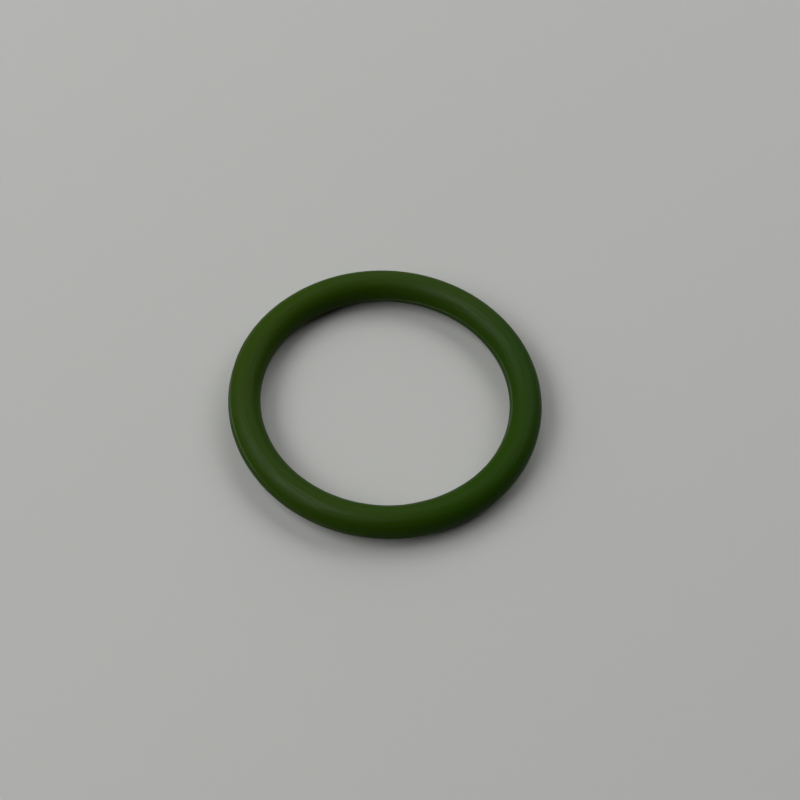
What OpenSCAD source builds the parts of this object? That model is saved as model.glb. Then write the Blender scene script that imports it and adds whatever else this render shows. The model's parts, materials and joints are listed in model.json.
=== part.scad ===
/* [Ring] */
// Inside diameter, between the round section's innermost points
inside_d = 20.29; // [8:0.01:60]
// Diameter of the round section
section_d = 2.62; // [1.5:0.01:6]

/* [Parting line] */
// Height of the trimmed flash above the round section
flash_h = 0.06; // [0.02:0.005:0.12]
// Width of the flat crest that trimming leaves on the flash
crest_w = 0.1; // [0.04:0.005:0.2]
// Slope of the flash's flanks, measured from the parting plane
flank_angle = 35; // [0:1:45]

/* [Hidden] */
// Facets of the drawn circles
section_fn = 96;
ring_fn = 256;
section_r = section_d / 2;
// Radius of the circle that the section's centre follows round the axis
centre_r = inside_d / 2 + section_r;
// The flash is rooted as deep in the round section as it stands above it
crest_x = section_r + flash_h;
root_x = section_r - flash_h;
root_w = crest_w + 2 * (crest_x - root_x) * tan(flank_angle);

// Flash on both equators of the section, as one web across the parting plane
// with drafted flanks and a flat trimmed crest at each end
module flash_profile() {
    polygon([
        [-crest_x, -crest_w / 2],
        [-root_x, -root_w / 2],
        [root_x, -root_w / 2],
        [crest_x, -crest_w / 2],
        [crest_x, crest_w / 2],
        [root_x, root_w / 2],
        [-root_x, root_w / 2],
        [-crest_x, crest_w / 2]
    ]);
}

// Section of the ring: a true circle with the mould's flash on its inner and outer equator
module section_profile() {
    circle(r = section_r, $fn = section_fn);
    flash_profile();
}

// One moulded ring, lying flat with its axis along +Z and its parting plane at z = 0
module o_ring() {
    color([0.17, 0.27, 0.09])
        rotate_extrude($fn = ring_fn)
            translate([centre_r, 0]) section_profile();
}

o_ring();
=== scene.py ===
"""A green rubber O-ring lying flat on a pale floor.

Lengths are in metres. The angles given as values here and to window() are in degrees, and the
angles that the functions pass to each other are in radians.
"""
import json
import math

import bpy
from mathutils import Matrix, Vector, noise


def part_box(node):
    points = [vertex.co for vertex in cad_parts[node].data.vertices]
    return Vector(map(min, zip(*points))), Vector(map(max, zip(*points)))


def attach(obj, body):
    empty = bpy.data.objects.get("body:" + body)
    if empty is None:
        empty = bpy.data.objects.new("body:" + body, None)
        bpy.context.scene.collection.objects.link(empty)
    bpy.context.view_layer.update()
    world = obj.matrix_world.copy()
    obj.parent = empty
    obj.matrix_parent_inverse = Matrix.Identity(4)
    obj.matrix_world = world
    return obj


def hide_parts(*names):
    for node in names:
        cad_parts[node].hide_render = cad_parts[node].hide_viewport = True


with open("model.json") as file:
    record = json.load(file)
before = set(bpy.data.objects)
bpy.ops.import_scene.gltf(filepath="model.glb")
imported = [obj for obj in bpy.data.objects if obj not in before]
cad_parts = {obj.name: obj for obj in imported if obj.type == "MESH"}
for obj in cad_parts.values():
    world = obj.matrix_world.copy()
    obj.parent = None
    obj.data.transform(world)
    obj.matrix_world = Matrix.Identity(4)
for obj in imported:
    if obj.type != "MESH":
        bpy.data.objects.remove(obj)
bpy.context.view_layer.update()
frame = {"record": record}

MM = 0.001

# Camera, from a fit of the ring's outlines in the 800 by 800 picture
PICTURE_PX = 800
LENS_PX = 1700
RING_CENTRE_PX = (385.5, 398.7)
CAMERA_ELEVATION = 56.9
CAMERA_ROLL = 4.08
CAMERA_DISTANCE_IN_RADII = 12.09
SENSOR_WIDTH_MM = 36
NEAREST_SEEN = 0.01

# Ring mesh: steps round the ring, round each half of the plain section, and across each flash ridge
STEPS_ROUND = 640
ARC_STEPS = 34
FLASH_STEPS = 12

# Section of the flash: how far each flank reaches out as a share of the flash's height, how much of
# the crest is flat, and how wide the finely divided band is as a multiple of the flash's root
FLANK_REACH = 0.9
FLAT_OF_CREST = 0.7
FINE_BAND = 1.2

# Height that trimming has left of the flash, as a share of its full height: an even part, a part that
# follows the trimming die, and a part for each noise, all kept between two limits
EVEN_SHARE = 0.36
DIE_SHARE = 0.36
SHARE_LIMITS = (0.15, 1.0)
# The die stood a little off centre towards this angle from +X, so more flash is left there on the
# outside, and opposite to it on the inside. The higher the power, the shorter the stretch with more.
DIE_TURN = 180
DIE_POWER = 5
# Broad, ragged and nicked: how fast each noise changes, how far its seeds for the outside and the
# inside lie from the middle one, and its share of the height
FLASH_SEED = 23.79
FLASH_NOISES = ((1.6, 5, 0.5), (22, 9, 0.2), (60, 13, 0.12))

# The loose ring lies a little twisted: how far its section is rolled, once and twice round the ring,
# and the angles from +X where each roll is greatest
TWIST_ONCE = (30, 168)
TWIST_TWICE = (6, 38)

# Rubber: two greens, the noise levels between which one passes into the other, and which of the
# broad patches the ring has. The patches are about as broad as the ring, so one side of it comes out
# lighter and more olive than the other
PATCH_GREENS = ((29, 55, 1), (39, 60, 3))
PATCH_EDGES = (0.36, 0.64)
PATCH_SEED = 5.1
# Paler green of the flash ridges: partly the trimmed rubber, partly painted light caught along the ridges
TRIMMED_AND_LIT_GREEN = (73, 82, 63)
SATIN_ROUGHNESS = (0.16, 0.64)
TRIMMED_ROUGHNESS = 0.2
SPECULAR_LEVEL = 0.042
# How fast the streaks change along the ring and round its section
STREAKS_ALONG = 5
STREAKS_ACROSS = 8
# Strength and depth of each relief
GRAIN_RELIEF = (0.35, 0.01 * MM)
TOOL_MARK_RELIEF = (0.6, 0.03 * MM)
STREAK_RELIEF = (0.7, 0.04 * MM)

# Floor and room
FLOOR_SIZE = 2.0
FLOOR_GREY = (176, 177, 174)
FLOOR_ROUGHNESS = 0.9
FLOOR_SPECULAR = 0.1
# Distances from the ring between which the floor fades into the pale room behind it
FLOOR_FADE = (0.05, 0.2)
ROOM_GREY = (188, 189, 188)
ROOM_LIGHT = 0.063
WINDOW_DISTANCE = 0.55


def srgb(red, green, blue):
    """The linear colour of three sRGB values from 0 to 255, with an alpha of 1."""
    def linear(value):
        share = value / 255
        return share / 12.92 if share <= 0.04045 else ((share + 0.055) / 1.055) ** 2.4
    return (linear(red), linear(green), linear(blue), 1.0)


def ring_sizes():
    """The ring's own sizes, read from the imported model: its section, its parting line and its place."""
    low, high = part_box("o_ring")
    walls = {mount["name"]: mount["dims"] for mount in frame["record"]["mounts"]}
    bore_crest = walls["bore"]["r_mm"] * MM
    rim_crest = walls["rim"]["r_mm"] * MM
    section_r = (high.z - low.z) / 2
    return {
        "floor_z": low.z,
        "section_r": section_r,
        "centre_r": (bore_crest + rim_crest) / 2,
        "flash_h": (rim_crest - bore_crest) / 2 - section_r,
        "crest_w": walls["rim"]["length_mm"] * MM,
    }


SIZES = ring_sizes()


def link(piece):
    """Put a piece into the scene."""
    bpy.context.scene.collection.objects.link(piece)
    return piece


def smooth_step(low, high, value):
    """A soft step from 0 at the low value to 1 at the high one."""
    share = min(max((value - low) / (high - low), 0.0), 1.0)
    return share * share * (3 - 2 * share)


def flash_root():
    """Half the width of the flash where it meets the round section."""
    return SIZES["crest_w"] / 2 + FLANK_REACH * SIZES["flash_h"]


def section_angles():
    """Angles round the section from its outer equator, close together on the two flash ridges."""
    half = FINE_BAND * flash_root() / SIZES["section_r"]
    ridge = [half * (2 * i / FLASH_STEPS - 1) for i in range(FLASH_STEPS + 1)]
    arc = [half + (math.pi - 2 * half) * i / ARC_STEPS for i in range(1, ARC_STEPS)]
    return ridge + arc + [math.pi + a for a in ridge] + [math.pi + a for a in arc]


def ridge_share(angle):
    """How far up a flash ridge this angle of the section is, from 0 on the round part to 1 on the crest."""
    off_equator = SIZES["section_r"] * abs(math.asin(math.sin(angle)))
    return 1 - smooth_step(FLAT_OF_CREST * SIZES["crest_w"] / 2, flash_root(), off_equator)


def flash_height(turn, side):
    """The share of the flash's full height that trimming has left at this angle round the ring."""
    x, y = math.cos(turn), math.sin(turn)
    share = EVEN_SHARE + DIE_SHARE * (side * math.cos(turn - math.radians(DIE_TURN))) ** DIE_POWER
    for speed, apart, weight in FLASH_NOISES:
        share += weight * noise.noise(Vector((speed * x, speed * y, FLASH_SEED + apart * side)))
    least, most = SHARE_LIMITS
    return min(max(share, least), most)


def twist(turn):
    """The angle by which the loose ring's section is rolled at this angle round the ring, flash and all."""
    rolls = ((1, *TWIST_ONCE), (2, *TWIST_TWICE))
    return sum(math.radians(most) * math.cos(times * (turn - math.radians(at)))
               for times, most, at in rolls)


def ring_mesh():
    """The moulded ring: a round section turned round the axis, with ragged flash on both of its sides."""
    angles = section_angles()
    ridges = [ridge_share(angle) for angle in angles]
    vertices, on_flash = [], []
    for i in range(STEPS_ROUND):
        turn = 2 * math.pi * i / STEPS_ROUND
        roll = twist(turn)
        heights = {side: flash_height(turn, side) for side in (1, -1)}
        for angle, ridge in zip(angles, ridges):
            side = 1 if math.cos(angle) > 0 else -1
            raised = ridge * heights[side]
            radius = SIZES["section_r"] + raised * SIZES["flash_h"]
            rolled = angle + roll
            reach = SIZES["centre_r"] + radius * math.cos(rolled)
            vertices.append((reach * math.cos(turn), reach * math.sin(turn), radius * math.sin(rolled)))
            on_flash.append(raised)
    count = len(angles)
    faces = []
    for i in range(STEPS_ROUND):
        here, there = i * count, (i + 1) % STEPS_ROUND * count
        for j in range(count):
            k = (j + 1) % count
            faces.append((here + j, there + j, there + k, here + k))
    mesh = bpy.data.meshes.new("moulded_ring")
    mesh.from_pydata(vertices, [], faces)
    mesh.attributes.new("flash", "FLOAT", "POINT").data.foreach_set("value", on_flash)
    mesh.shade_smooth()
    mesh.update()
    return mesh


def feed(tree, value, socket):
    """Link another node's output to a socket, or set the socket to a number or a colour."""
    if isinstance(value, bpy.types.NodeSocket):
        tree.links.new(value, socket)
    else:
        socket.default_value = value


def add_node(tree, kind, inputs, **settings):
    """A new node with these settings, and with its inputs fed by name or by number."""
    node = tree.nodes.new(kind)
    for name, value in settings.items():
        setattr(node, name, value)
    for name, value in inputs.items():
        feed(tree, value, node.inputs[name])
    return node


def calc(tree, operation, *values):
    """The result of one operation on these numbers or outputs."""
    return add_node(tree, "ShaderNodeMath", dict(enumerate(values)), operation=operation).outputs[0]


def noise_texture(tree, dimensions, **inputs):
    """Soft noise from 0 to 1, with its inputs fed by their names."""
    return add_node(tree, "ShaderNodeTexNoise", inputs, noise_dimensions=dimensions).outputs["Fac"]


def rubber():
    """Satin green rubber with the fine circles that a turned mould leaves round the section."""
    material = bpy.data.materials.new("green_rubber")
    material.use_nodes = True
    tree = material.node_tree
    shader = tree.nodes["Principled BSDF"]
    place = add_node(tree, "ShaderNodeTexCoord", {}).outputs["Object"]

    # Angle round the section, which is the same all along one tool mark
    x, y, z = add_node(tree, "ShaderNodeSeparateXYZ", {"Vector": place}).outputs
    from_axis = calc(tree, "SQRT", calc(tree, "ADD", calc(tree, "POWER", x, 2), calc(tree, "POWER", y, 2)))
    past_centre = calc(tree, "SUBTRACT", from_axis, SIZES["centre_r"])
    round_section = calc(tree, "ARCTAN2", z, past_centre)
    tool_marks = noise_texture(tree, "1D", W=round_section, Scale=9, Detail=3)

    # Streaks: long patches that follow the ring, from the flow of the rubber in the mould
    along = add_node(tree, "ShaderNodeCombineXYZ", {
        "X": calc(tree, "MULTIPLY", calc(tree, "DIVIDE", x, from_axis), STREAKS_ALONG),
        "Y": calc(tree, "MULTIPLY", calc(tree, "DIVIDE", y, from_axis), STREAKS_ALONG),
        "Z": calc(tree, "MULTIPLY", round_section, STREAKS_ACROSS),
    }).outputs["Vector"]
    streaks = noise_texture(tree, "3D", Vector=along, Scale=1, Detail=2)

    # Colour: a deep green and a more olive one in patches about as broad as the ring, paler on the flash
    # ridges: partly the trimmed rubber, partly painted light that the ridges catch
    patches = noise_texture(tree, "4D", Vector=place, W=PATCH_SEED, Scale=40, Detail=4)
    greens = add_node(tree, "ShaderNodeValToRGB", {"Fac": patches})
    for element, edge, green in zip(greens.color_ramp.elements, PATCH_EDGES, PATCH_GREENS):
        element.position = edge
        element.color = srgb(*green)
    trimmed = add_node(tree, "ShaderNodeAttribute", {}, attribute_name="flash").outputs["Fac"]
    colour = add_node(tree, "ShaderNodeMix", {
        "Factor": trimmed,
        "A": greens.outputs["Color"],
        "B": srgb(*TRIMMED_AND_LIT_GREEN),
    }, data_type="RGBA").outputs["Result"]
    feed(tree, colour, shader.inputs["Base Color"])

    # Roughness: satin in streaks, and rougher along the trimmed flash
    satin = add_node(tree, "ShaderNodeMapRange", {
        "Value": streaks,
        "To Min": SATIN_ROUGHNESS[0],
        "To Max": SATIN_ROUGHNESS[1],
    }).outputs["Result"]
    rougher = calc(tree, "MULTIPLY", trimmed, TRIMMED_ROUGHNESS)
    feed(tree, calc(tree, "ADD", satin, rougher), shader.inputs["Roughness"])

    # Relief: a fine moulded grain, with the tool marks over it and the streaks over both
    grain = noise_texture(tree, "3D", Vector=place, Scale=9000, Detail=2)
    reliefs = ((grain, GRAIN_RELIEF), (tool_marks, TOOL_MARK_RELIEF), (streaks, STREAK_RELIEF))
    under = {}
    for height, (strength, depth) in reliefs:
        inputs = {"Height": height, "Strength": strength, "Distance": depth, **under}
        under = {"Normal": add_node(tree, "ShaderNodeBump", inputs).outputs["Normal"]}
    feed(tree, under["Normal"], shader.inputs["Normal"])

    shader.inputs["Specular IOR Level"].default_value = SPECULAR_LEVEL
    return material


def ring():
    """The ring that is seen, in place of the plain solid."""
    piece = link(bpy.data.objects.new("moulded_ring", ring_mesh()))
    piece.data.materials.append(rubber())
    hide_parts("o_ring")
    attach(piece, "root")


def paper():
    """Plain pale paper that fades out far from the ring."""
    material = bpy.data.materials.new("floor")
    material.use_nodes = True
    tree = material.node_tree
    shader = tree.nodes["Principled BSDF"]
    shader.inputs["Base Color"].default_value = srgb(*FLOOR_GREY)
    shader.inputs["Roughness"].default_value = FLOOR_ROUGHNESS
    shader.inputs["Specular IOR Level"].default_value = FLOOR_SPECULAR
    place = add_node(tree, "ShaderNodeTexCoord", {}).outputs["Object"]
    from_ring = add_node(tree, "ShaderNodeVectorMath", {0: place}, operation="LENGTH").outputs["Value"]
    fade = add_node(tree, "ShaderNodeMapRange", {
        "Value": from_ring,
        "From Min": FLOOR_FADE[0],
        "From Max": FLOOR_FADE[1],
    }, interpolation_type="SMOOTHSTEP").outputs["Result"]
    gone = add_node(tree, "ShaderNodeBsdfTransparent", {}).outputs["BSDF"]
    sheet = add_node(tree, "ShaderNodeMixShader", {0: fade, 1: shader.outputs["BSDF"], 2: gone})
    feed(tree, sheet.outputs["Shader"], tree.nodes["Material Output"].inputs["Surface"])
    return material


def floor():
    """A flat sheet under the ring."""
    half = FLOOR_SIZE / 2
    z = SIZES["floor_z"]
    corners = [(-half, -half, z), (half, -half, z), (half, half, z), (-half, half, z)]
    mesh = bpy.data.meshes.new("floor")
    mesh.from_pydata(corners, [], [(0, 1, 2, 3)])
    mesh.materials.append(paper())
    link(bpy.data.objects.new("floor", mesh))


def window(name, azimuth, elevation, width, height, power):
    """A wide soft lamp that faces the ring. Azimuth 0 is behind the ring and 90 to its right."""
    light = bpy.data.lights.new(name, "AREA")
    light.shape = "RECTANGLE"
    light.size = width
    light.size_y = height
    light.energy = power
    turn, rise = math.radians(azimuth), math.radians(elevation)
    towards = Vector((math.sin(turn) * math.cos(rise), math.cos(turn) * math.cos(rise), math.sin(rise)))
    piece = link(bpy.data.objects.new(name, light))
    piece.location = towards * WINDOW_DISTANCE
    piece.rotation_mode = "QUATERNION"
    piece.rotation_quaternion = towards.to_track_quat("Z", "Y")
    piece.visible_camera = False
    return piece


def lights():
    """Windows to the left and behind, low light round the back, and two lamps high on the left."""
    window("left_window", azimuth=-95, elevation=45, width=0.72, height=0.26, power=2.5)
    window("back_window", azimuth=30, elevation=45, width=0.72, height=0.26, power=1.85)
    window("low_left_window", azimuth=-80, elevation=20, width=0.9, height=0.2, power=0.37)
    window("low_back_window", azimuth=20, elevation=20, width=0.6, height=0.2, power=0.33)
    window("high_lamp", azimuth=-70, elevation=70, width=0.16, height=0.16, power=0.22)
    highlight = window("highlight_lamp", azimuth=-92, elevation=69, width=0.44, height=0.24, power=3.25)
    highlight.visible_diffuse = False


def room():
    """A room that looks pale to the camera and adds only a little light."""
    world = bpy.data.worlds.new("room")
    world.use_nodes = True
    tree = world.node_tree
    background = tree.nodes["Background"]
    background.inputs["Color"].default_value = srgb(*ROOM_GREY)
    to_camera = add_node(tree, "ShaderNodeLightPath", {}).outputs["Is Camera Ray"]
    seen = add_node(tree, "ShaderNodeMapRange", {"Value": to_camera, "To Min": ROOM_LIGHT})
    feed(tree, seen.outputs["Result"], background.inputs["Strength"])
    bpy.context.scene.world = world


def camera():
    """The photograph's view: the lens, the tilt and the place of the ring's centre in the picture."""
    rise = math.radians(CAMERA_ELEVATION)
    forward = Vector((0, math.cos(rise), -math.sin(rise)))
    right = Vector((1, 0, 0))
    straight = Matrix((right, forward.cross(right), forward))
    level = Matrix.Rotation(math.radians(CAMERA_ROLL), 3, "Z")
    middle = PICTURE_PX / 2
    ray = Vector((RING_CENTRE_PX[0] - middle, RING_CENTRE_PX[1] - middle, LENS_PX))
    aside = Vector((0, 0, 1)).rotation_difference(ray).to_matrix()
    rows = aside @ level @ straight
    turned = Matrix((rows[0], -rows[1], -rows[2])).transposed()
    stand = -forward * CAMERA_DISTANCE_IN_RADII * SIZES["centre_r"]
    lens = bpy.data.cameras.new("camera")
    lens.sensor_width = SENSOR_WIDTH_MM
    lens.lens = SENSOR_WIDTH_MM * LENS_PX / PICTURE_PX
    lens.clip_start = NEAREST_SEEN
    piece = link(bpy.data.objects.new("camera", lens))
    piece.matrix_world = Matrix.Translation(stand) @ turned.to_4x4()
    bpy.context.scene.camera = piece


camera()
ring()
floor()
lights()
room()
bpy.context.scene.view_settings.view_transform = "Standard"
